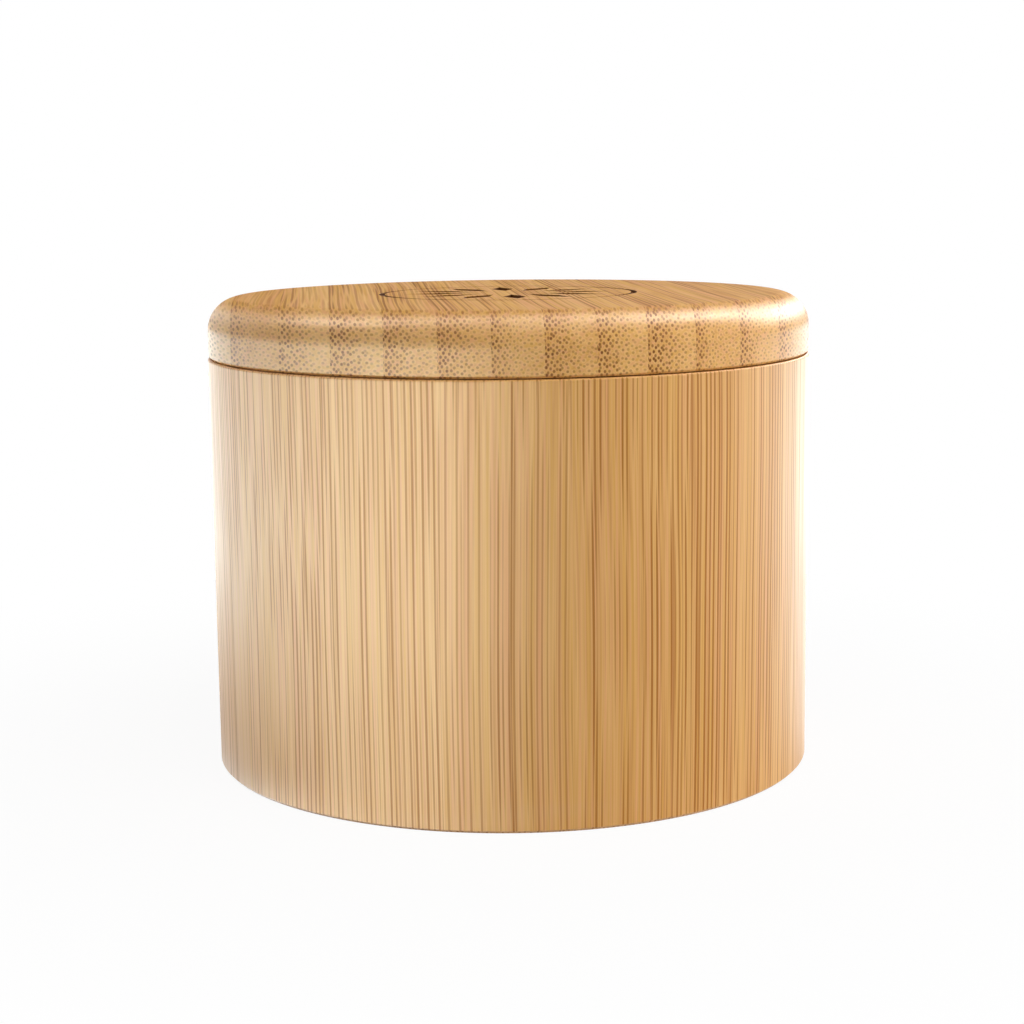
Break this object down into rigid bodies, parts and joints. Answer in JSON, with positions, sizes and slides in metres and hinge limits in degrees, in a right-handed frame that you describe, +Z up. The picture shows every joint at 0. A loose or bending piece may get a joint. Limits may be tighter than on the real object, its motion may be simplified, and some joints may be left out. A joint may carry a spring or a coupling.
{
  "type": "seasoning jar",
  "caption": "Round bamboo salt box with a staved wall, a strip base and a flush swivel lid of edge-glued strips on a hidden pin, held shut by magnets.",
  "frame": {"origin": "centre of the foot, on the surface the jar stands on", "axes": "+Z up along the jar's axis; the lid's strips run along Y; the picture looks along +Y from the front, -Y"},
  "size_m": [0.09, 0.09, 0.07],
  "materials": {
    "lid_bamboo": "satin lacquer, end grain dots",
    "wall_bamboo": "satin lacquer, upright fibres",
    "base_bamboo": "satin lacquer",
    "pin_steel": "ground",
    "sleeve_brass": "drawn tube",
    "washer_nylon": "natural",
    "magnet_nickel": "nickel plated"
  },
  "bodies": {
    "jar": {"base_strip_01": "base_bamboo", "base_strip_02": "base_bamboo", "base_strip_03": "base_bamboo", "base_strip_04": "base_bamboo", "base_strip_05": "base_bamboo", "base_strip_06": "base_bamboo", "base_strip_07": "base_bamboo", "base_strip_08": "base_bamboo", "base_strip_09": "base_bamboo", "base_strip_10": "base_bamboo", "base_strip_11": "base_bamboo", "pivot_sleeve": "sleeve_brass", "pivot_washer": "washer_nylon", "rim_magnet": "magnet_nickel", "wall_stave_01": "wall_bamboo", "wall_stave_02": "wall_bamboo", "wall_stave_03": "wall_bamboo", "wall_stave_04": "wall_bamboo", "wall_stave_05": "wall_bamboo", "wall_stave_06": "wall_bamboo", "wall_stave_07": "wall_bamboo", "wall_stave_08": "wall_bamboo", "wall_stave_09": "wall_bamboo", "wall_stave_10": "wall_bamboo", "wall_stave_11": "wall_bamboo", "wall_stave_12": "wall_bamboo", "wall_stave_13": "wall_bamboo", "wall_stave_14": "wall_bamboo", "wall_stave_15": "wall_bamboo", "wall_stave_16": "wall_bamboo"},
    "lid": {"lid_magnet": "magnet_nickel", "lid_strip_01": "lid_bamboo", "lid_strip_02": "lid_bamboo", "lid_strip_03": "lid_bamboo", "lid_strip_04": "lid_bamboo", "lid_strip_05": "lid_bamboo", "lid_strip_06": "lid_bamboo", "lid_strip_07": "lid_bamboo", "lid_strip_08": "lid_bamboo", "lid_strip_09": "lid_bamboo", "lid_strip_10": "lid_bamboo", "lid_strip_11": "lid_bamboo", "lid_strip_12": "lid_bamboo", "lid_strip_13": "lid_bamboo", "lid_strip_14": "lid_bamboo", "pivot_pin": "pin_steel"}
  },
  "joints": [
    {"name": "lid_swivel", "type": "hinge", "parent": "jar", "child": "lid", "pos_m": [0.00427, 0.04027, 0.06115], "axis": [0, 0, 1], "continuous": true}
  ]
}
